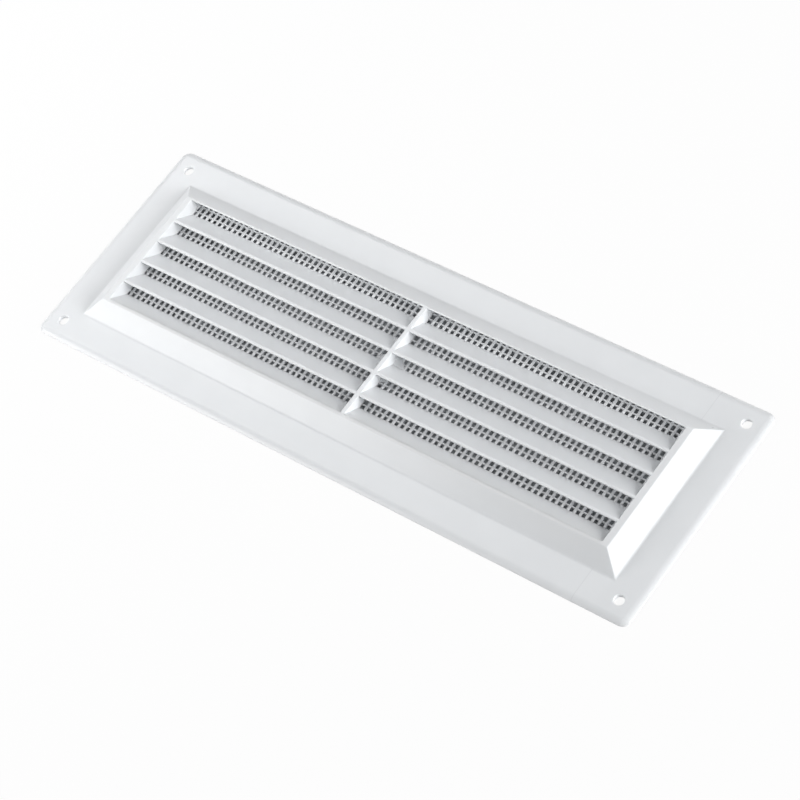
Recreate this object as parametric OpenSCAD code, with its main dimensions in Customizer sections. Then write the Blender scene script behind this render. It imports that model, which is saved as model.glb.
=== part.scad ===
// Fixed louvre wall vent with a fly screen behind its blades.
// It lies on its back: the wall plane is z = 0 and the louvres face +Z.
// +Y is the side that is fixed uppermost, so rain runs off the blades
// towards -Y. All sizes are in millimetres.

/* [Face plate] */
// Length of the plate, along X
plate_w = 263; // [200:1:320]
// Height of the plate, along Y
plate_h = 90; // [80:1:120]
// Depth from the wall to the front of the plate
plate_d = 1.4; // [1.2:0.1:2.2]
// Radius of the plate's four corners, seen from the front
corner_r = 3.2; // [3:0.1:8]
// Width of the roll that takes the front of the plate down to its edge
edge_run = 2.8; // [2:0.1:3]
// Upright part of the plate's edge, below the roll
edge_land = 0.3; // [0.2:0.1:0.6]
// Thickness of the walls of the raised surround
wall_t = 1.3; // [1.2:0.1:1.8]

/* [Raised surround] */
// Flat border from a long edge of the plate to the foot of the slope
border_w = 13; // [12:0.1:16]
// The same border at the plate's two ends
end_border_w = 12.7; // [12:0.1:16]
// Width of the slope, seen from the front
slope_run = 6.6; // [6:0.1:9]
// Height of the rim above the front of the plate
rim_rise = 5.5; // [5.2:0.1:8]
// Width of the rim along the upper side
rim_w = 0.8; // [0.6:0.1:1.6]
// Height of the upright inner edge of that rim
lip_t = 0.3; // [0.2:0.1:0.6]
// Width of the rim along the lower side, where the last blade joins it
low_rim_w = 1.4; // [1:0.1:2]
// Width of the rim at the two ends
end_rim_w = 2.5; // [1.2:0.1:3]

/* [Louvres] */
// Distance from one blade's ridge to the next
louvre_pitch = 9.9; // [9:0.1:12]
// Distance from the upper edge of the rim to the first blade's ridge
first_ridge = 11; // [9.5:0.1:12]
// Width of the flat ridge along the front of a blade
ridge_w = 1; // [0.6:0.1:1.6]
// Distance that a blade climbs behind its ridge, seen from the front
blade_run = 7.5; // [7:0.1:8.5]
// Depth of a blade behind its ridge
blade_drop = 4.6; // [4.2:0.1:5]
// Thickness of a blade
blade_t = 1.2; // [1:0.1:1.6]
// Distance that the end cheeks lean inwards from front to back
cheek_lean = 1.4; // [0:0.1:2]
// Thickness of the middle mullion at its front
mullion_t = 1.7; // [1.2:0.1:3]
// Extra thickness of the mullion at its back, on each side
mullion_draft = 0.3; // [0:0.1:0.6]

/* [Fly screen] */
// Distance from one bar of the mesh to the next
mesh_pitch = 2.47; // [2.2:0.01:4]
// Width of a bar of the mesh
mesh_bar = 0.6; // [0.5:0.1:1]
// Thickness of the screen
screen_t = 1; // [0.8:0.1:1.2]
// Width of the solid strip behind the mullion
strip_w = 1.5; // [1:0.1:3]
// Distance from the middle of the screen to the first bar on each side
first_bar = 3.44; // [3:0.01:4]
// Diameter of the solid disc at the middle, where the plastic was fed in
gate_d = 12; // [6:0.5:14]
// Width of the plain border at the screen's two ends
screen_end = 5; // [4.5:0.5:8]
// Radius of the screen's corners
screen_r = 1; // [0.5:0.5:3]
// Clearance between the screen's edge and the walls around it
screen_gap = 0.2; // [0.15:0.05:0.4]

/* [Screen lugs] */
// Length of a lug that holds the screen in
lug_l = 8; // [5:1:12]
// Distance that a lug reaches over the back of the screen
lug_grip = 0.5; // [0.3:0.1:0.8]
// Thickness of a lug
lug_t = 0.8; // [0.6:0.1:1]
// Distance from the middle lug to the outer ones on a long side
lug_spacing = 72; // [50:1:80]

/* [Fixing holes] */
// Diameter of the four screw holes
hole_d = 3.7; // [3.2:0.1:4.5]
// Distance from the plate's short edge to a hole
hole_inset_x = 7.5; // [7:0.5:9]
// Distance from the plate's long edge to a hole
hole_inset_y = 7.5; // [7:0.5:8.5]
// Width of the small chamfer at the mouth of a hole
hole_chamfer = 0.2; // [0.1:0.1:0.6]

/* [Hidden] */
$fn = 48;
over = 1;
face_white = [0.93, 0.94, 0.95];
screen_white = [0.88, 0.89, 0.9];
rim_z = plate_d + rim_rise;
seat_z = rim_z - blade_drop;
foot_w = plate_w - 2 * end_border_w;
foot_h = plate_h - 2 * border_w;
rim_out_w = foot_w - 2 * slope_run;
rim_out_h = foot_h - 2 * slope_run;
mouth_w = rim_out_w - 2 * end_rim_w;
mouth_h = rim_out_h - rim_w - low_rim_w;
mouth_y = (low_rim_w - rim_w) / 2;
slope_lean = slope_run / rim_rise;
slope_wall = wall_t * sqrt(1 + slope_lean * slope_lean);
inner_lean = (slope_run + rim_w - slope_wall) / (rim_rise - lip_t);
first_ridge_y = rim_out_h / 2 - first_ridge;
blade_count = floor((rim_out_h + ridge_w - first_ridge) / louvre_pitch) + 1;
blade_slope = blade_drop / (blade_run - ridge_w / 2);
blade_thick_z = blade_t * sqrt(1 + blade_slope * blade_slope);
root = wall_t / 2;
edge_drop = plate_d - edge_land;
edge_r = (edge_run * edge_run + edge_drop * edge_drop) / (2 * edge_drop);
recess_w = foot_w - 2 * wall_in(seat_z, slope_lean);
recess_h = foot_h - 2 * wall_in(seat_z, inner_lean);
screen_w = recess_w - 2 * screen_gap;
screen_h = recess_h - 2 * screen_gap;
screen_back_z = seat_z - screen_t;
screen_mid_z = seat_z - screen_t / 2;
hole_cols = floor((screen_w / 2 - screen_end - first_bar) / mesh_pitch) + 1;
hole_rows = floor((screen_h / 2 - mesh_bar - mesh_pitch / 2) / mesh_pitch + 0.5);

// Horizontal distance from the foot of the slope to its inner face at height z
function wall_in(z, lean) = slope_wall + (z - plate_d) * lean;

// Inner and outer limit of mesh column c, counted from the middle strip
function col_from(c) = c == 0 ? strip_w / 2 : first_bar + (c - 1) * mesh_pitch + mesh_bar / 2;
function col_to(c) = first_bar + c * mesh_pitch - mesh_bar / 2;

// Block with four sloping sides between the heights z0 and z1
module tapered_block(w0, h0, w1, h1, z0, z1) {
    intersection() {
        rotate([90, 0, 0])
            linear_extrude(height = h0 + h1, center = true)
                polygon([[-w0 / 2, z0], [w0 / 2, z0], [w1 / 2, z1], [-w1 / 2, z1]]);
        rotate([90, 0, 90])
            linear_extrude(height = w0 + w1, center = true)
                polygon([[-h0 / 2, z0], [h0 / 2, z0], [h1 / 2, z1], [-h1 / 2, z1]]);
    }
}

// Rectangle with round corners
module round_rect(w, h, r) {
    square([w - 2 * r, h], center = true);
    square([w, h - 2 * r], center = true);
    for (sx = [-1, 1], sy = [-1, 1])
        translate([sx * (w / 2 - r), sy * (h / 2 - r)])
            circle(r);
}

// Section through the plate's edge: the front rolls over and ends in a
// short upright land
module edge_section() {
    square([corner_r - edge_run, plate_d]);
    intersection() {
        translate([corner_r - edge_run, plate_d - edge_r])
            circle(edge_r);
        square([corner_r, plate_d]);
    }
}

// The plate as one solid, with rolled edges and round corners
module plate_blank() {
    core_w = plate_w - 2 * corner_r;
    core_h = plate_h - 2 * corner_r;
    translate([-core_w / 2, -core_h / 2, 0])
        cube([core_w, core_h, plate_d]);
    for (s = [0, 180])
        rotate([0, 0, s]) {
            translate([core_w / 2, 0, 0])
                rotate([90, 0, 0])
                    linear_extrude(height = core_h, center = true)
                        edge_section();
            translate([0, core_h / 2, 0])
                rotate([90, 0, 90])
                    linear_extrude(height = core_w, center = true)
                        edge_section();
            translate([core_w / 2, core_h / 2, 0])
                rotate_extrude(angle = 90)
                    edge_section();
            translate([-core_w / 2, core_h / 2, 0])
                rotate([0, 0, 90])
                    rotate_extrude(angle = 90)
                        edge_section();
        }
}

// Outside of the raised surround
module surround_outside() {
    tapered_block(foot_w, foot_h, rim_out_w, rim_out_h, plate_d, rim_z);
    translate([-foot_w / 2, -foot_h / 2, plate_d - wall_t])
        cube([foot_w, foot_h, wall_t]);
}

// Hollow behind the surround. Its ends keep one wall thickness inside the
// slopes, and its long walls thin out towards the narrow rim
module surround_hollow() {
    tapered_block(
        foot_w - 2 * wall_in(-over, slope_lean), foot_h - 2 * wall_in(-over, inner_lean),
        foot_w - 2 * wall_in(rim_z, slope_lean), foot_h - 2 * wall_in(rim_z, inner_lean),
        -over, rim_z
    );
}

// Plate and surround as one open moulding
module shell() {
    difference() {
        union() {
            plate_blank();
            surround_outside();
        }
        surround_hollow();
        translate([-mouth_w / 2, mouth_y - mouth_h / 2, 0])
            cube([mouth_w, mouth_h, rim_z + over]);
    }
}

// Section through one blade: the flat ridge, the wet face, the inner edge
module blade_section() {
    nose = ridge_w / 2;
    polygon([
        [-nose, rim_z],
        [nose, rim_z],
        [blade_run, seat_z],
        [blade_run - blade_thick_z / blade_slope, seat_z],
        [-nose, rim_z + ridge_w * blade_slope - blade_thick_z]
    ]);
}

// All blades, cut off inside the end cheeks and the lower rim
module blades() {
    intersection() {
        for (k = [0 : blade_count - 1])
            translate([0, first_ridge_y - k * louvre_pitch, 0])
                rotate([90, 0, 90])
                    linear_extrude(height = mouth_w + 2 * over, center = true)
                        blade_section();
        translate([0, mouth_y, 0])
            rotate([90, 0, 0])
                linear_extrude(height = mouth_h + rim_w, center = true)
                    polygon([
                        [-mouth_w / 2 - root + cheek_lean, seat_z],
                        [mouth_w / 2 + root - cheek_lean, seat_z],
                        [mouth_w / 2 + root, rim_z],
                        [-mouth_w / 2 - root, rim_z]
                    ]);
    }
}

// Upright walls that carry the blades: a cheek at each end and the mullion
module uprights() {
    front = mouth_w / 2;
    back = front - cheek_lean;
    half = mullion_t / 2;
    intersection() {
        surround_outside();
        rotate([90, 0, 0])
            linear_extrude(height = foot_h, center = true) {
                polygon([[back, seat_z], [back + wall_t, seat_z], [front + wall_t, rim_z], [front, rim_z]]);
                polygon([[-back, seat_z], [-front, rim_z], [-front - wall_t, rim_z], [-back - wall_t, seat_z]]);
                polygon([
                    [-half - mullion_draft, seat_z],
                    [half + mullion_draft, seat_z],
                    [half, rim_z],
                    [-half, rim_z]
                ]);
            }
    }
}

// One lug, rooted in the slope and reaching over the screen's edge
module lug(foot, screen_edge, lean) {
    inner = screen_edge - lug_grip;
    outer = foot / 2 - wall_in(screen_back_z - lug_t, lean) + slope_wall / 2;
    translate([inner, -lug_l / 2, screen_back_z - lug_t])
        cube([outer - inner, lug_l, lug_t]);
}

// Lugs on all four sides of the recess
module lugs() {
    for (s = [0, 180])
        rotate([0, 0, s]) {
            lug(foot_w, screen_w / 2, slope_lean);
            for (x = [-lug_spacing, 0, lug_spacing])
                translate([x, 0, 0])
                    rotate([0, 0, 90])
                        lug(foot_h, screen_h / 2, inner_lean);
        }
}

// Puts its children at each of the four fixing holes
module at_holes() {
    for (sx = [-1, 1], sy = [-1, 1])
        translate([sx * (plate_w / 2 - hole_inset_x), sy * (plate_h / 2 - hole_inset_y), 0])
            children();
}

// Front moulding: plate, surround, blades, cheeks, mullion and lugs in one
module louvre_face() {
    color(face_white)
        difference() {
            union() {
                shell();
                uprights();
                blades();
                lugs();
            }
            at_holes() {
                translate([0, 0, -over])
                    cylinder(d = hole_d, h = plate_d + 2 * over);
                translate([0, 0, plate_d - hole_chamfer])
                    cylinder(d1 = hole_d, d2 = hole_d + 4 * hole_chamfer, h = 2 * hole_chamfer);
            }
        }
}

// Outline of the screen with its window cut to children(), and the gate disc
module screen_layer() {
    difference() {
        round_rect(screen_w, screen_h, screen_r);
        difference() {
            children();
            circle(d = gate_d);
        }
    }
}

// Front half of the screen's mesh, down to the middle of its thickness.
// Its bars run along Y, and the mesh openings are where its slots cross
// the slots of the back half.
module screen_front() {
    slot_h = (2 * hole_rows + 1) * mesh_pitch - mesh_bar;
    color(screen_white)
        translate([0, 0, screen_mid_z])
            linear_extrude(height = seat_z - screen_mid_z)
                screen_layer()
                    for (c = [0 : hole_cols - 1], s = [-1, 1])
                        translate([s * (col_from(c) + col_to(c)) / 2, 0])
                            square([col_to(c) - col_from(c), slot_h], center = true);
}

// Back half of the screen's mesh, with its bars along X
module screen_back() {
    slot_l = col_to(hole_cols - 1) - strip_w / 2;
    color(screen_white)
        translate([0, 0, screen_back_z])
            linear_extrude(height = screen_mid_z - screen_back_z)
                screen_layer()
                    for (r = [-hole_rows : hole_rows], s = [-1, 1])
                        translate([s * (strip_w + slot_l) / 2, r * mesh_pitch])
                            square([slot_l, mesh_pitch - mesh_bar], center = true);
}

louvre_face();
screen_front();
screen_back();
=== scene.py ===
import math

import bmesh
import bpy
from mathutils import Matrix, Vector


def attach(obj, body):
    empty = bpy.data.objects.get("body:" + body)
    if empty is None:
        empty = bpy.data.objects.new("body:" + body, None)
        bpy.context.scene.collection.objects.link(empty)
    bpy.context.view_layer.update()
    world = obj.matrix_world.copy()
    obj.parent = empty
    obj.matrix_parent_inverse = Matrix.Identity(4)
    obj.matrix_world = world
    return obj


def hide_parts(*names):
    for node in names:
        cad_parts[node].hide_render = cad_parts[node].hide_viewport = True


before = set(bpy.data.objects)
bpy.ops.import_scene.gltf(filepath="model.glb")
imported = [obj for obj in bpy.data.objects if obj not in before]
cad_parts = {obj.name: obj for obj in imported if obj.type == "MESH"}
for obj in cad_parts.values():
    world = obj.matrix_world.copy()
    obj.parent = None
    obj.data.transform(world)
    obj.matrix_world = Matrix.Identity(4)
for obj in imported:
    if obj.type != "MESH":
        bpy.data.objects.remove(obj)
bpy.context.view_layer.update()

mm = 0.001

# Face shell: the thin flat plate with its rolled edge and the hollow raised surround.
# One injection moulding in glossy white plastic.
# The cheeks, blades, mullion, lugs and screw holes of the next sections are part of it.
plate_w, plate_h, plate_d = 263 * mm, 90 * mm, 1.4 * mm
corner_r, edge_run, edge_land, wall_t = 3.2 * mm, 2.8 * mm, 0.3 * mm, 1.3 * mm
border_w, end_border_w = 13 * mm, 12.7 * mm
slope_run, rim_rise = 6.6 * mm, 5.5 * mm
rim_w, low_rim_w, end_rim_w, lip_t = 0.8 * mm, 1.4 * mm, 2.5 * mm, 0.3 * mm
crease_r, rim_r, lip_r, hip_r = 1.5 * mm, 0.8 * mm, 0.2 * mm, 0.3 * mm
roll_end, blade_drop, mouth_past_seat = 0.5 * mm, 4.6 * mm, 0.6 * mm
roll_steps, lip_steps = 14, 4
rim_z = plate_d + rim_rise
foot_w, foot_h = plate_w - 2 * end_border_w, plate_h - 2 * border_w
rim_out_w, rim_out_h = foot_w - 2 * slope_run, foot_h - 2 * slope_run
mouth_w = rim_out_w - 2 * end_rim_w
mouth_h = rim_out_h - rim_w - low_rim_w
mouth_y = (low_rim_w - rim_w) / 2
slope_lean = slope_run / rim_rise
slope_wall = wall_t * math.sqrt(1 + slope_lean ** 2)
inner_lean = (slope_run + rim_w - slope_wall) / (rim_rise - lip_t)
seat_z = rim_z - blade_drop
mouth_low = seat_z - mouth_past_seat
cheek_lean = 1.4 * mm
below = -1 * mm


def rounded_outline(corners, steps=4, closed=True):
    """Points through (a, b, radius) corners, with each radius rounded in."""
    points = []
    count = len(corners)
    for i, (a, b, radius) in enumerate(corners):
        here = Vector((a, b))
        if radius == 0 or (not closed and i in (0, count - 1)):
            points.append(here)
            continue
        back = (Vector(corners[i - 1][:2]) - here).normalized()
        on = (Vector(corners[(i + 1) % count][:2]) - here).normalized()
        half_angle = back.angle(on) / 2
        centre = here + (back + on).normalized() * radius / math.sin(half_angle)
        start = here + back * radius / math.tan(half_angle) - centre
        inward = here - centre
        sweep = math.pi - 2 * half_angle
        turn = 1 if start.x * inward.y - start.y * inward.x > 0 else -1
        for s in range(steps + 1):
            points.append(centre + Matrix.Rotation(turn * sweep * s / steps, 2) @ start)
    return points


def round_ring(width, height, radius, z, steps=6, middle=0.0):
    """Points of a rectangle with round corners at height z, anticlockwise."""
    points = []
    for quarter, sx, sy in ((0, 1, 1), (1, -1, 1), (2, -1, -1), (3, 1, -1)):
        for s in range(steps + 1):
            a = math.pi / 2 * (quarter + s / steps)
            x = sx * (width / 2 - radius) + radius * math.cos(a)
            y = sy * (height / 2 - radius) + radius * math.sin(a)
            points.append(Vector((x, middle + y, z)))
    return points


def loft(rings, shape=None):
    """A closed solid through rings of equally many points, lowest ring first."""
    shape = shape or bmesh.new()
    levels = [[shape.verts.new(p) for p in ring] for ring in rings]
    for low, high in zip(levels, levels[1:]):
        for i in range(len(low)):
            j = (i + 1) % len(low)
            shape.faces.new((low[i], low[j], high[j], high[i]))
    shape.faces.new(levels[0][::-1])
    shape.faces.new(levels[-1])
    return shape


def as_object(name, shape):
    """The bmesh as an object in the scene, at the origin."""
    bmesh.ops.recalc_face_normals(shape, faces=shape.faces)
    mesh = bpy.data.meshes.new(name)
    shape.to_mesh(mesh)
    shape.free()
    made = bpy.data.objects.new(name, mesh)
    bpy.context.scene.collection.objects.link(made)
    return made


def wall_in(z, lean=slope_lean):
    """Distance from the foot of the slope to its inner face at height z."""
    return slope_wall + (z - plate_d) * lean


def outside_path(border):
    """The outside from the wall over the rolled edge, the border and the slope."""
    edge_drop = plate_d - edge_land
    edge_r = (edge_run ** 2 + edge_drop ** 2) / (2 * edge_drop)
    roll = [Vector((0, 0))]
    for step in range(roll_steps + 1):
        a = math.asin(edge_run / edge_r) * (1 - step / roll_steps)
        roll.append(Vector((
            edge_run - edge_r * math.sin(a), plate_d - edge_r + edge_r * math.cos(a),
        )))
    return roll + rounded_outline([
        (edge_run + roll_end, plate_d, 0), (border, plate_d, crease_r),
        (border + slope_run, rim_z, rim_r), (border + slope_run + rim_w, rim_z, 0),
    ], steps=8, closed=False)


face_shell = as_object("louvre_face_moulding", loft([
    round_ring(plate_w - 2 * p.x, plate_h - 2 * q.x, max(hip_r, corner_r - q.x), q.y)
    for p, q in zip(outside_path(end_border_w), outside_path(border_w))
]))

surround_hollow = as_object("surround_hollow", loft([
    round_ring(foot_w - 2 * wall_in(z), foot_h - 2 * wall_in(z, inner_lean), hip_r, z)
    for z in (below, rim_z)
]))

lip_lean = cheek_lean * lip_r / (rim_z - seat_z)
mouth_rings = [
    (cheek_lean * (mouth_low - rim_z) / (rim_z - seat_z), 0, mouth_low),
    (-lip_lean, 0, rim_z - lip_r),
]
for step in range(1, lip_steps + 1):
    a = math.pi / 2 * step / lip_steps
    wider = lip_r * (1 - math.cos(a))
    mouth_rings.append((wider - lip_lean, wider, rim_z - lip_r + lip_r * math.sin(a)))
mouth_rings.append((lip_r, lip_r, rim_z - below))
mouth = as_object("mouth", loft([
    round_ring(mouth_w + 2 * dx, mouth_h + 2 * dy, hip_r, z, middle=mouth_y)
    for dx, dy, z in mouth_rings
]))

# End cheeks and mullion: the upright walls that carry the blades' ends and middles.
# They are moulded on, and taper or lean a little so that the part leaves its mould.
mullion_t, mullion_draft, ridge_r = 1.7 * mm, 0.3 * mm, 0.22 * mm
cheek_foot, mullion_foot = seat_z + 0.03 * mm, seat_z + 0.05 * mm
mullion_top = rim_z - 0.02 * mm
into_mouth = 0.2 * mm


def upright(section, shape=None):
    """A wall with this section across the vent, running into both long slopes."""
    def end(side):
        return [
            Vector((p.x, side * (rim_out_h / 2 - rim_w / 2 + (rim_z - p.y) * slope_lean), p.y))
            for p in section
        ]
    return loft([end(1), end(-1)], shape)


cheek = [
    (mouth_w / 2 - cheek_lean - into_mouth, cheek_foot, 0),
    (mouth_w / 2 - cheek_lean + wall_t, cheek_foot, 0),
    (mouth_w / 2 + wall_t, rim_z, 0),
    (mouth_w / 2 - into_mouth, rim_z, 0),
]
both_cheeks = upright(rounded_outline(cheek))
upright(rounded_outline([(-a, b, r) for a, b, r in cheek]), both_cheeks)
end_cheeks = as_object("end_cheeks", both_cheeks)

half_mullion = mullion_t / 2
mullion = as_object("mullion", upright(rounded_outline([
    (-half_mullion - mullion_draft, mullion_foot, 0),
    (half_mullion + mullion_draft, mullion_foot, 0),
    (half_mullion, mullion_top, ridge_r), (-half_mullion, mullion_top, ridge_r),
])))

# Louvre blades: five sloping slats, each with a flat ridge in front and an inner edge
# that the fly screen lies against. They run from cheek to cheek through the mullion.
# Geometry Nodes sweep one section along the slat and repeat it down the opening.
pitch, blades, first_ridge = 9.9 * mm, 5, 14.4 * mm
ridge_w, blade_run, blade_t = 1 * mm, 7.5 * mm, 1.2 * mm
blade_slope = (rim_z - seat_z) / (blade_run - ridge_w / 2)
blade_thick_z = blade_t * math.sqrt(1 + blade_slope ** 2)
ridge_z = rim_z - 0.015 * mm
shoulder_r, inner_edge_r = 0.9 * mm, 0.1 * mm


def new_tree(name, inputs):
    """An empty Geometry Nodes tree with these named inputs, and its two end nodes."""
    tree = bpy.data.node_groups.new(name, "GeometryNodeTree")
    face = tree.interface
    face.new_socket("Geometry", in_out="INPUT", socket_type="NodeSocketGeometry")
    for label, kind in inputs:
        face.new_socket(label, in_out="INPUT", socket_type="NodeSocket" + kind)
    face.new_socket("Geometry", in_out="OUTPUT", socket_type="NodeSocketGeometry")
    return tree, tree.nodes.new("NodeGroupInput"), tree.nodes.new("NodeGroupOutput")


def add(tree, kind, settings=None, **inputs):
    """Adds a node. Inputs are given by name, or by place as _0, _1 and so on.

    Each is a socket to link from, or a value."""
    node = tree.nodes.new(kind)
    for key, value in (settings or {}).items():
        setattr(node, key, value)
    for label, value in inputs.items():
        by_place = label[0] == "_" and label[1:].isdigit()
        socket = node.inputs[int(label[1:]) if by_place else label.replace("_", " ")]
        if isinstance(value, bpy.types.NodeSocket):
            tree.links.new(value, socket)
        else:
            socket.default_value = value
    return node


def grow(made, tree, values):
    """Runs the tree on the object and keeps the result as its plain mesh."""
    modifier = made.modifiers.new(tree.name, "NODES")
    modifier.node_group = tree
    for item in tree.interface.items_tree:
        if item.item_type == "SOCKET" and item.in_out == "INPUT" and item.name in values:
            modifier[item.identifier] = values[item.name]
    evaluated = made.evaluated_get(bpy.context.evaluated_depsgraph_get())
    mesh = bpy.data.meshes.new_from_object(evaluated)
    made.modifiers.clear()
    made.data = mesh
    return made


face_plastic = bpy.data.materials.new("glossy_white_moulding")
section = rounded_outline([
    (-ridge_w / 2, rim_z + ridge_w * blade_slope - blade_thick_z, 0),
    (blade_run - blade_thick_z / blade_slope, seat_z, 0),
    (blade_run, seat_z, inner_edge_r),
    (ridge_w / 2, ridge_z, shoulder_r),
    (-ridge_w / 2, ridge_z, ridge_r),
])
flat = bmesh.new()
flat.faces.new([flat.verts.new((0, p.x, p.y)) for p in section])
louvre_blades = as_object("louvre_blades", flat)

slats, given, result = new_tree("slats", [
    ("Length", "Float"), ("Pitch", "Float"), ("Blades", "Int"), ("First Ridge", "Float"),
    ("Cheek Lean", "Float"), ("Front Height", "Float"), ("Lowest Edge", "Float"),
    ("Plastic", "Material"),
])
sizes = given.outputs


def slat_sum(operation, a, b):
    """One sum in the slats' tree."""
    return add(slats, "ShaderNodeMath", {"operation": operation}, _0=a, _1=b).outputs[0]


along = add(slats, "ShaderNodeCombineXYZ", X=sizes["Length"]).outputs[0]
half_back = add(slats, "ShaderNodeVectorMath", {"operation": "SCALE"},
                _0=along, Scale=-0.5).outputs[0]
moved = add(slats, "GeometryNodeTransform",
            Geometry=sizes["Geometry"], Translation=half_back).outputs[0]
swept = add(slats, "GeometryNodeExtrudeMesh", {"mode": "FACES"},
            Mesh=moved, Offset=along, Individual=False).outputs["Mesh"]
capped = add(slats, "GeometryNodeJoinGeometry")
slats.links.new(swept, capped.inputs[0])
slats.links.new(add(slats, "GeometryNodeFlipFaces", Mesh=moved).outputs[0], capped.inputs[0])
slat = add(slats, "GeometryNodeMergeByDistance",
           Geometry=capped.outputs[0], Distance=0.01 * mm).outputs[0]
start = add(slats, "ShaderNodeCombineXYZ", Y=sizes["First Ridge"]).outputs[0]
next_slat = add(slats, "ShaderNodeCombineXYZ",
                Y=slat_sum("MULTIPLY", sizes["Pitch"], -1.0)).outputs[0]
places = add(slats, "GeometryNodeMeshLine", {"mode": "OFFSET"},
             Count=sizes["Blades"], Start_Location=start, Offset=next_slat).outputs[0]
rows = add(slats, "GeometryNodeInstanceOnPoints", Points=places, Instance=slat).outputs[0]
real = add(slats, "GeometryNodeRealizeInstances", Geometry=rows).outputs[0]

# The slats' ends follow the leaning cheeks, and the last one stops at the lower rim.
at = add(slats, "GeometryNodeInputPosition").outputs[0]
part = add(slats, "ShaderNodeSeparateXYZ", Vector=at).outputs
end_side = add(slats, "ShaderNodeMath", {"operation": "SIGN"}, _0=part["X"]).outputs[0]
depth = slat_sum("SUBTRACT", part["Z"], sizes["Front Height"])
shift = slat_sum("MULTIPLY", end_side, slat_sum("MULTIPLY", depth, sizes["Cheek Lean"]))
place = add(slats, "ShaderNodeCombineXYZ", X=slat_sum("ADD", part["X"], shift),
            Y=slat_sum("MAXIMUM", part["Y"], sizes["Lowest Edge"]), Z=part["Z"]).outputs[0]
fitted = add(slats, "GeometryNodeSetPosition", Geometry=real, Position=place).outputs[0]
finished = add(slats, "GeometryNodeSetMaterial",
               Geometry=fitted, Material=sizes["Plastic"]).outputs[0]
slats.links.new(finished, result.inputs[0])
grow(louvre_blades, slats, {
    "Length": mouth_w + wall_t, "Pitch": pitch, "Blades": blades, "First Ridge": first_ridge,
    "Cheek Lean": cheek_lean / (rim_z - seat_z), "Front Height": rim_z,
    "Lowest Edge": mouth_y - (mouth_h + rim_w) / 2, "Plastic": face_plastic,
})

# Screen lugs: eight small tongues on the inner walls, three to a long side and one
# to each end, that the fly screen snaps behind. They are part of the face moulding.
screen_t, screen_gap = 1 * mm, 0.2 * mm
screen_w = foot_w - 2 * wall_in(seat_z) - 2 * screen_gap
screen_h = foot_h - 2 * wall_in(seat_z, inner_lean) - 2 * screen_gap
lug_l, lug_grip, lug_t, lug_spacing = 8 * mm, 0.5 * mm, 0.8 * mm, 72 * mm
lug_bevel = 0.2 * mm
lug_top = seat_z - screen_t
lug_low = lug_top - lug_t
lugs = bmesh.new()
for turn in (0, 180):
    long_side = [(90, screen_h, foot_h, x) for x in (-lug_spacing, 0, lug_spacing)]
    for quarter, screen_edge, foot, across in [(0, screen_w, foot_w, 0)] + long_side:
        lean = inner_lean if quarter else slope_lean
        lug_root = wall_in(lug_low, lean) - slope_wall / 2
        inner, outer = screen_edge / 2 - lug_grip, foot / 2 - lug_root
        facing = Matrix.Rotation(math.radians(turn + quarter), 4, "Z")
        rings = []
        for z, inset in ((lug_low, lug_bevel), (lug_low + lug_bevel, 0), (lug_top, 0)):
            ring = [(inner + inset, -lug_l / 2 + inset), (outer, -lug_l / 2 + inset),
                    (outer, lug_l / 2 - inset), (inner + inset, lug_l / 2 - inset)]
            rings.append([
                facing @ Vector((x, y - across if quarter else y, z)) for x, y in ring
            ])
        loft(rings, lugs)
screen_lugs = as_object("screen_lugs", lugs)

# Screw holes: four plain holes near the corners, each with a small chamfer in front,
# moulded straight through the plate.
hole_d, hole_chamfer, hole_edge_r, hole_inset = 3.7 * mm, 0.2 * mm, 0.15 * mm, 7.5 * mm
hole_x, hole_y = plate_w / 2 - hole_inset, plate_h / 2 - hole_inset


def turned(path, shape, sides=40):
    """Solids turned from (radius, z) points, one at each of the four screw holes."""
    for sx in (-1, 1):
        for sy in (-1, 1):
            loft([[
                Vector((sx * hole_x + r * math.cos(math.tau * i / sides),
                        sy * hole_y + r * math.sin(math.tau * i / sides), z))
                for i in range(sides)
            ] for r, z in path], shape)
    return shape


chamfer = rounded_outline([
    (hole_d / 2, below, 0), (hole_d / 2, plate_d - hole_chamfer, hole_edge_r),
    (hole_d / 2 + 2 * hole_chamfer, plate_d + hole_chamfer, 0),
], closed=False)
screw_holes = as_object("screw_holes", turned([(p.x, p.y) for p in chamfer], bmesh.new()))

# The moulding is now cut and joined as its mould would form it, into one closed mesh.
# Flat faces keep flat light, and the rolled edge and the small radii are smooth.
steps_of_mould = (
    (surround_hollow, "DIFFERENCE"), (end_cheeks, "UNION"), (mouth, "DIFFERENCE"),
    (mullion, "UNION"), (louvre_blades, "UNION"), (screen_lugs, "UNION"),
    (screw_holes, "DIFFERENCE"),
)
for tool, act in steps_of_mould:
    cut = face_shell.modifiers.new(tool.name, "BOOLEAN")
    cut.operation, cut.solver, cut.object = act, "MANIFOLD", tool
evaluated = face_shell.evaluated_get(bpy.context.evaluated_depsgraph_get())
moulded = bpy.data.meshes.new_from_object(evaluated)
face_shell.modifiers.clear()
face_shell.data = moulded
for tool, act in steps_of_mould:
    bpy.data.objects.remove(tool)

flat_within, sharp_from = math.radians(0.5), math.radians(30)
cleaned = bmesh.new()
cleaned.from_mesh(moulded)
bmesh.ops.dissolve_limit(
    cleaned, angle_limit=flat_within, verts=cleaned.verts, edges=cleaned.edges)
cleaned.to_mesh(moulded)
cleaned.free()
moulded.shade_smooth()
moulded.set_sharp_from_angle(angle=sharp_from)
even = face_shell.modifiers.new("flat_faces_stay_flat", "WEIGHTED_NORMAL")
even.keep_sharp = True
moulded.materials.clear()
moulded.materials.append(face_plastic)

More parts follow.
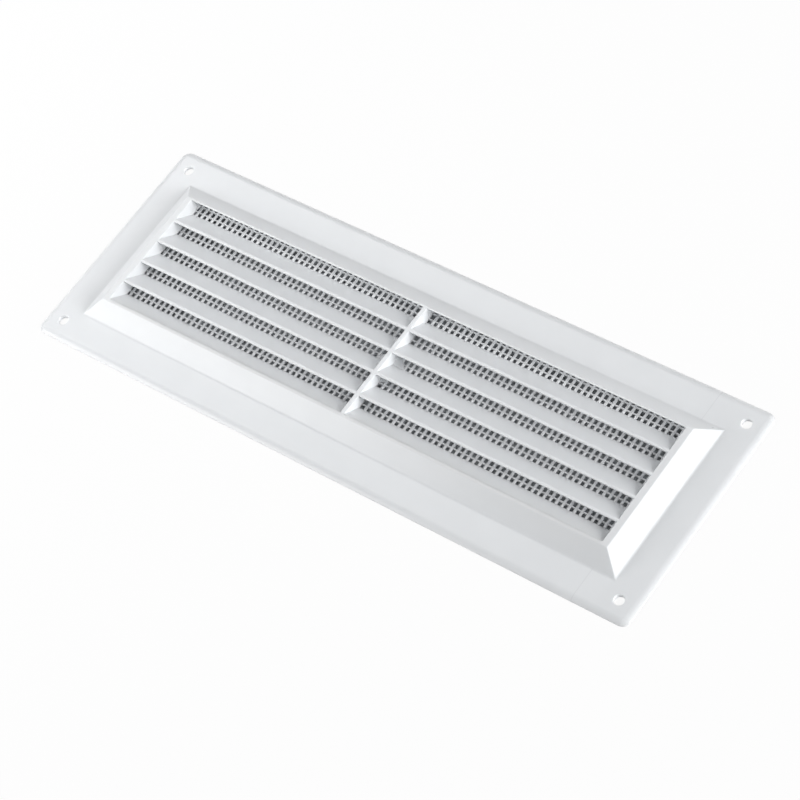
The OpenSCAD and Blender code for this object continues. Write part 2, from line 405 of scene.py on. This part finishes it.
# Glossy white moulding: a cool white with a very faint mottle, a slight unevenness in
# its gloss, a fine skin from the mould, and the thin straight line that an insert of
# the mould left across both long borders near one end.
insert_line_x, insert_line_half_w, insert_line_depth = 109.7 * mm, 0.22 * mm, 0.35
insert_line_grey = (0.62, 0.63, 0.65, 1)
border_top = plate_d + 0.1 * mm
face_plastic.use_nodes = True
tree = face_plastic.node_tree
skin = tree.nodes["Principled BSDF"]
skin.inputs["IOR"].default_value = 1.5
skin.inputs["Subsurface Weight"].default_value = 0.6
skin.inputs["Subsurface Radius"].default_value = (1, 1, 1)
skin.inputs["Subsurface Scale"].default_value = 1.2 * mm


def mottled(tree, coords, scale, darker, lighter):
    """A colour that wavers between two near tones, from a soft noise."""
    noise = add(tree, "ShaderNodeTexNoise", Vector=coords, Scale=scale, Detail=3.0)
    ramp = add(tree, "ShaderNodeValToRGB", Fac=noise.outputs["Fac"])
    for stop, position, colour in zip(ramp.color_ramp.elements, (0.35, 0.65), (darker, lighter)):
        stop.position, stop.color = position, colour
    return ramp.outputs[0]


def uneven_gloss(tree, coords, scale, low, high):
    """A roughness between low and high, from a finer noise."""
    noise = add(tree, "ShaderNodeTexNoise", Vector=coords, Scale=scale, Detail=2.0)
    return add(tree, "ShaderNodeMapRange",
               Value=noise.outputs["Fac"], To_Min=low, To_Max=high).outputs[0]


coords = add(tree, "ShaderNodeTexCoord").outputs["Object"]
tone = mottled(tree, coords, scale=70.0,
               darker=(0.822, 0.840, 0.858, 1), lighter=(0.836, 0.854, 0.872, 1))
part = add(tree, "ShaderNodeSeparateXYZ", Vector=coords).outputs
from_line = add(tree, "ShaderNodeMath", {"operation": "SUBTRACT"},
                _0=part["X"], _1=insert_line_x).outputs[0]
off_line = add(tree, "ShaderNodeMath", {"operation": "ABSOLUTE"}, _0=from_line).outputs[0]
near = add(tree, "ShaderNodeMapRange", {"interpolation_type": "SMOOTHSTEP"}, Value=off_line,
           From_Min=0.0, From_Max=insert_line_half_w, To_Min=1.0, To_Max=0.0).outputs[0]
on_border = add(tree, "ShaderNodeMath", {"operation": "LESS_THAN"},
                _0=part["Z"], _1=border_top).outputs[0]
line = add(tree, "ShaderNodeMath", {"operation": "MULTIPLY"}, _0=near, _1=on_border).outputs[0]
faint = add(tree, "ShaderNodeMath", {"operation": "MULTIPLY"},
            _0=line, _1=insert_line_depth).outputs[0]
colour = add(tree, "ShaderNodeMix", {"data_type": "RGBA"},
             _0=faint, _6=tone, _7=insert_line_grey).outputs[2]
tree.links.new(colour, skin.inputs["Base Color"])
rough = uneven_gloss(tree, coords, scale=220.0, low=0.26, high=0.33)
tree.links.new(rough, skin.inputs["Roughness"])
grain = add(tree, "ShaderNodeTexNoise", Vector=coords, Scale=1400.0, Detail=3.0).outputs["Fac"]
height = add(tree, "ShaderNodeMath", {"operation": "SUBTRACT"}, _0=grain, _1=line).outputs[0]
bump = add(tree, "ShaderNodeBump", Height=height, Strength=0.06, Distance=0.02 * mm)
tree.links.new(bump.outputs[0], skin.inputs["Normal"])

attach(face_shell, "root")
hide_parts("louvre_face")

# Fly screen: one thin white moulding, with a plain border, a square mesh of bars,
# a solid strip behind the mullion and the round gate disc at its middle.
# It lies against the blades' inner edges, held by the lugs. Geometry Nodes lay its bars.
mesh_pitch, mesh_bar, first_bar = 2.47 * mm, 0.6 * mm, 3.44 * mm
bar_front, bar_back, bar_depth, bar_edge = 0.95 * mm, 1.05 * mm, 0.5 * mm, 0.12 * mm
cross_bar, cross_depth = 0.5 * mm, 0.9 * mm
bar_sunk, cross_sunk = 0.02 * mm, 0.04 * mm
strip_w, gate_d, gate_sides = 1.5 * mm, 12 * mm, 48
screen_end, screen_r = 5 * mm, 1 * mm
columns = int((screen_w / 2 - screen_end - first_bar) / mesh_pitch) + 1
half_rows = 12
window_y = (half_rows - 1) * mesh_pitch + (mesh_pitch - mesh_bar) / 2
window_x = first_bar + (columns - 1) * mesh_pitch - mesh_bar / 2
screen_back = seat_z - screen_t

screen_plastic = bpy.data.materials.new("satin_white_screen")
mesh_tree, given, result = new_tree("screen_mesh", [
    ("Mesh Pitch", "Float"), ("Bar Front", "Float"), ("Bar Back", "Float"),
    ("Columns", "Int"), ("First Bar", "Float"), ("Rows", "Int"),
    ("Window X", "Float"), ("Window Y", "Float"), ("Strip", "Float"),
    ("Width", "Float"), ("Height", "Float"), ("Corner", "Float"),
    ("Gate", "Float"), ("Back Height", "Float"), ("Thickness", "Float"),
    ("Cross Bar", "Float"), ("Cross Depth", "Float"), ("Bar Edge", "Float"),
    ("Bar Depth", "Float"), ("Plastic", "Material"),
])
sizes = given.outputs


def calc(operation, a, b=0.0):
    """One sum in the screen's tree."""
    return add(mesh_tree, "ShaderNodeMath", {"operation": operation}, _0=a, _1=b).outputs[0]


def xyz(x=0.0, y=0.0, z=0.0):
    """One vector in the screen's tree."""
    return add(mesh_tree, "ShaderNodeCombineXYZ", X=x, Y=y, Z=z).outputs[0]


def bars(bottom, top, deep, length, turn, count, start, step):
    """Tapered bars of this section, repeated from start by step."""
    outline = add(mesh_tree, "GeometryNodeCurvePrimitiveQuadrilateral", {"mode": "TRAPEZOID"},
                  Bottom_Width=bottom, Top_Width=top, Height=deep, Offset=0.0).outputs[0]
    outline = add(mesh_tree, "GeometryNodeFilletCurve", {"mode": "POLY"}, Curve=outline,
                  Count=2, Radius=sizes["Bar Edge"], Limit_Radius=True).outputs[0]
    half_long = calc("MULTIPLY", length, 0.5)
    spine = add(mesh_tree, "GeometryNodeCurvePrimitiveLine",
                Start=xyz(calc("MULTIPLY", half_long, -1.0)), End=xyz(half_long)).outputs[0]
    bar = add(mesh_tree, "GeometryNodeCurveToMesh",
              Curve=spine, Profile_Curve=outline, Fill_Caps=True).outputs[0]
    turned_bar = add(mesh_tree, "GeometryNodeTransform", Geometry=bar, Rotation=turn).outputs[0]
    line = add(mesh_tree, "GeometryNodeMeshLine", {"mode": "OFFSET"},
               Count=count, Start_Location=start, Offset=step).outputs[0]
    return add(mesh_tree, "GeometryNodeInstanceOnPoints",
               Points=line, Instance=turned_bar).outputs[0]


front_z = calc("ADD", sizes["Back Height"], sizes["Thickness"])
middle_z = calc("ADD", sizes["Back Height"], calc("MULTIPLY", sizes["Thickness"], 0.5))
window_tall = calc("MULTIPLY", sizes["Window Y"], 2.0)
bar_z = calc("SUBTRACT", front_z,
             calc("ADD", calc("MULTIPLY", sizes["Bar Depth"], 0.5), bar_sunk))
whole = add(mesh_tree, "GeometryNodeJoinGeometry")
bar_sets = []
for sign in (1.0, -1.0):
    bar_sets.append(bars(
        sizes["Bar Back"], sizes["Bar Front"], sizes["Bar Depth"], window_tall,
        (0, 0, math.pi / 2), sizes["Columns"],
        xyz(calc("MULTIPLY", sizes["First Bar"], sign), 0.0, bar_z),
        xyz(calc("MULTIPLY", sizes["Mesh Pitch"], sign)),
    ))
cross_z = calc("SUBTRACT", front_z,
               calc("ADD", calc("MULTIPLY", sizes["Cross Depth"], 0.5), cross_sunk))
cross_start = calc("MULTIPLY", sizes["Mesh Pitch"],
                   calc("SUBTRACT", calc("MULTIPLY", sizes["Rows"], 0.5), 0.5))
bar_sets.append(bars(
    sizes["Cross Bar"], sizes["Cross Bar"], sizes["Cross Depth"],
    calc("MULTIPLY", sizes["Window X"], 2.0), (0, 0, 0), sizes["Rows"],
    xyz(0.0, calc("MULTIPLY", cross_start, -1.0), cross_z), xyz(0.0, sizes["Mesh Pitch"], 0.0),
))

outer = add(mesh_tree, "GeometryNodeCurvePrimitiveQuadrilateral", {"mode": "RECTANGLE"},
            Width=sizes["Width"], Height=sizes["Height"]).outputs[0]
outer = add(mesh_tree, "GeometryNodeFilletCurve", {"mode": "POLY"}, Curve=outer, Count=4,
            Radius=sizes["Corner"]).outputs[0]
window_wide = calc("SUBTRACT", sizes["Window X"], calc("MULTIPLY", sizes["Strip"], 0.5))
window_mid = calc("ADD", calc("MULTIPLY", window_wide, 0.5),
                  calc("MULTIPLY", sizes["Strip"], 0.5))
window = add(mesh_tree, "GeometryNodeCurvePrimitiveQuadrilateral", {"mode": "RECTANGLE"},
             Width=window_wide, Height=window_tall).outputs[0]
outlines = add(mesh_tree, "GeometryNodeJoinGeometry")
mesh_tree.links.new(outer, outlines.inputs[0])
for sign in (1.0, -1.0):
    shifted = add(mesh_tree, "GeometryNodeTransform", Geometry=window,
                  Translation=xyz(calc("MULTIPLY", window_mid, sign))).outputs[0]
    mesh_tree.links.new(shifted, outlines.inputs[0])
sheet_face = add(mesh_tree, "GeometryNodeFillCurve", Curve=outlines.outputs[0]).outputs[0]
sheet_low = add(mesh_tree, "GeometryNodeTransform", Geometry=sheet_face,
                Translation=xyz(0.0, 0.0, sizes["Back Height"])).outputs[0]
raised = add(mesh_tree, "GeometryNodeExtrudeMesh", {"mode": "FACES"}, Mesh=sheet_low,
             Offset=xyz(0.0, 0.0, sizes["Thickness"]), Individual=False).outputs["Mesh"]
border = add(mesh_tree, "GeometryNodeJoinGeometry")
mesh_tree.links.new(raised, border.inputs[0])
sheet_back = add(mesh_tree, "GeometryNodeFlipFaces", Mesh=sheet_low).outputs[0]
mesh_tree.links.new(sheet_back, border.inputs[0])
border_solid = add(mesh_tree, "GeometryNodeMergeByDistance", Geometry=border.outputs[0],
                   Distance=0.005 * mm).outputs[0]
disc = add(mesh_tree, "GeometryNodeMeshCylinder", Vertices=gate_sides,
           Radius=calc("MULTIPLY", sizes["Gate"], 0.5), Depth=sizes["Thickness"])
gate_disc = add(mesh_tree, "GeometryNodeTransform", Geometry=disc.outputs["Mesh"],
                Translation=xyz(0.0, 0.0, middle_z)).outputs[0]

for laid in (*bar_sets, border_solid, gate_disc):
    mesh_tree.links.new(laid, whole.inputs[0])
real = add(mesh_tree, "GeometryNodeRealizeInstances", Geometry=whole.outputs[0]).outputs[0]
finished = add(mesh_tree, "GeometryNodeSetMaterial",
               Geometry=real, Material=sizes["Plastic"]).outputs[0]
mesh_tree.links.new(finished, result.inputs[0])
fly_screen = grow(as_object("fly_screen", bmesh.new()), mesh_tree, {
    "Mesh Pitch": mesh_pitch, "Bar Front": bar_front, "Bar Back": bar_back,
    "Columns": columns, "First Bar": first_bar, "Rows": 2 * half_rows,
    "Window X": window_x, "Window Y": window_y, "Strip": strip_w,
    "Width": screen_w, "Height": screen_h, "Corner": screen_r,
    "Gate": gate_d, "Back Height": screen_back, "Thickness": screen_t,
    "Cross Bar": cross_bar, "Cross Depth": cross_depth, "Bar Edge": bar_edge,
    "Bar Depth": bar_depth, "Plastic": screen_plastic,
})

# Satin white screen plastic: less glossy than the face, with the same faint mottle and a little
# more of the mould's grain.
# Its white is painted brighter than the face's: painted light for the mesh deep in the slots.
screen_plastic.use_nodes = True
tree = screen_plastic.node_tree
skin = tree.nodes["Principled BSDF"]
skin.inputs["IOR"].default_value = 1.5
coords = add(tree, "ShaderNodeTexCoord").outputs["Object"]
# Painted light: this white is brighter than the face's so that the shaded mesh reads as lit.
tone = mottled(tree, coords, scale=120.0,
               darker=(0.900, 0.912, 0.925, 1), lighter=(0.915, 0.927, 0.940, 1))
rough = uneven_gloss(tree, coords, scale=300.0, low=0.36, high=0.5)
tree.links.new(tone, skin.inputs["Base Color"])
tree.links.new(rough, skin.inputs["Roughness"])
grain = add(tree, "ShaderNodeTexNoise", Vector=coords, Scale=1600.0, Detail=3.0).outputs["Fac"]
bump = add(tree, "ShaderNodeBump", Height=grain, Strength=0.15, Distance=0.02 * mm)
tree.links.new(bump.outputs[0], skin.inputs["Normal"])

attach(fly_screen, "root")
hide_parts("screen_front", "screen_back")

# White table that the vent lies on, with an opening under the louvres.
# The opening's walls and floor are painted grey: painted shade for the shadow under the vent,
# seen through the mesh.
duct_w, duct_h, duct_deep = 224 * mm, 60 * mm, 14 * mm
table_reach, table_z = 6.0, -0.1 * mm
paper_share = 0.93
table = bmesh.new()


def table_ring(half_x, half_y, z):
    """Four corners around the vent at height z."""
    return [
        table.verts.new((x * half_x, y * half_y, z))
        for x, y in ((1, 1), (-1, 1), (-1, -1), (1, -1))
    ]


outer_ring = table_ring(table_reach, table_reach, table_z)
edge_ring = table_ring(duct_w / 2, duct_h / 2, table_z)
deep_ring = table_ring(duct_w / 2, duct_h / 2, -duct_deep)
for i in range(4):
    j = (i + 1) % 4
    table.faces.new((outer_ring[i], outer_ring[j], edge_ring[j], edge_ring[i]))
    wall = table.faces.new((edge_ring[i], edge_ring[j], deep_ring[j], deep_ring[i]))
    wall.material_index = 1
table.faces.new(deep_ring).material_index = 1
table_mesh = bpy.data.meshes.new("table")
table.to_mesh(table_mesh)
table.free()
table_top = bpy.data.objects.new("table", table_mesh)
bpy.context.scene.collection.objects.link(table_top)

table_white = bpy.data.materials.new("white_table")
table_white.use_nodes = True
tree = table_white.node_tree
plain = tree.nodes["Principled BSDF"]
plain.inputs["Base Color"].default_value = (0.9, 0.9, 0.9, 1)
plain.inputs["Roughness"].default_value = 0.9
plain.inputs["Specular IOR Level"].default_value = 0.0
paper = add(tree, "ShaderNodeEmission", Color=(1, 1, 1, 1), Strength=1.0).outputs[0]
rays = add(tree, "ShaderNodeLightPath").outputs
seen = rays["Is Camera Ray"]
for kind in ("Is Glossy Ray", "Is Transmission Ray"):
    seen = add(tree, "ShaderNodeMath", {"operation": "MAXIMUM"},
               _0=seen, _1=rays[kind]).outputs[0]
share = add(tree, "ShaderNodeMath", {"operation": "MULTIPLY"},
            _0=seen, _1=paper_share).outputs[0]
mixed = add(tree, "ShaderNodeMixShader", _0=share, _1=plain.outputs[0], _2=paper).outputs[0]
tree.links.new(mixed, tree.nodes["Material Output"].inputs["Surface"])

painted_shade_grey = bpy.data.materials.new("painted_shade_grey")
painted_shade_grey.use_nodes = True
shade_grey_bsdf = painted_shade_grey.node_tree.nodes["Principled BSDF"]
# Mid grey on the opening's walls and floor: painted shade, not a colour of the table.
shade_grey_bsdf.inputs["Base Color"].default_value = (0.62, 0.64, 0.66, 1)
shade_grey_bsdf.inputs["Roughness"].default_value = 0.9
table_mesh.materials.append(table_white)
table_mesh.materials.append(painted_shade_grey)

# Light: a broad bright lamp low beyond the right end, a nearer one in front of the left
# end that the lower slope reflects, and weaker ones to fill. The room adds very little.
world = bpy.data.worlds.new("studio")
bpy.context.scene.world = world
world.use_nodes = True
room = world.node_tree.nodes["Background"]
room.inputs["Color"].default_value = (1, 1, 1, 1)
room.inputs["Strength"].default_value = 0.01


def soft_lamp(name, direction, distance, width, radiance):
    """A square area lamp that looks at the vent from a direction."""
    lamp = bpy.data.lights.new(name, "AREA")
    lamp.shape, lamp.size = "SQUARE", width
    lamp.energy = radiance * math.pi * width ** 2
    made = bpy.data.objects.new(name, lamp)
    bpy.context.scene.collection.objects.link(made)
    spot = Vector(direction).normalized() * distance
    made.location = spot
    made.rotation_euler = spot.to_track_quat("Z", "Y").to_euler()


soft_lamp("right_low", (0.93, 0.05, 0.35), distance=1.5, width=0.8, radiance=9.9)
soft_lamp("right_high", (0.65, 0.26, 0.70), distance=1.5, width=0.8, radiance=0.8)
soft_lamp("right_back", (0.70, 0.60, 0.38), distance=0.5, width=0.27, radiance=2.0)
soft_lamp("front_high", (0.25, -0.55, 0.80), distance=1.2, width=0.6, radiance=0.5)
soft_lamp("left_front", (-0.66, -0.60, 0.40), distance=0.7, width=0.37, radiance=6.1)
soft_lamp("left_low", (-0.93, 0.0, 0.35), distance=0.5, width=0.27, radiance=1.5)
soft_lamp("left_high", (-0.68, 0.22, 0.70), distance=0.5, width=0.27, radiance=1.6)
soft_lamp("back_left", (-0.60, 0.42, 0.68), distance=0.5, width=0.2, radiance=0.9)
soft_lamp("back_high", (-0.30, 0.45, 0.84), distance=0.45, width=0.2, radiance=1.5)

# Camera at the photograph's viewing angle, placed by its three image axes: to the
# right, down and ahead in the picture.
view = bpy.data.cameras.new("camera")
camera = bpy.data.objects.new("camera", view)
bpy.context.scene.collection.objects.link(camera)
image_right = Vector((0.771604, 0.580112, -0.260954))
image_down = Vector((0.373311, -0.745136, -0.552641))
ahead = Vector((-0.515039, 0.329003, -0.791512))
stand = Matrix.Identity(4)
for axis in range(3):
    stand[axis][0] = image_right[axis]
    stand[axis][1] = -image_down[axis]
    stand[axis][2] = -ahead[axis]
stand.translation = Vector((529.926, -339.278, 796.971)) * mm
camera.matrix_world = stand
view.sensor_width = 36.0
view.lens = 132.68
view.shift_x, view.shift_y = -0.00098, 0.00129
view.clip_start, view.clip_end = 0.01, 50.0
bpy.context.scene.camera = camera
bpy.context.scene.view_settings.view_transform = "Standard"
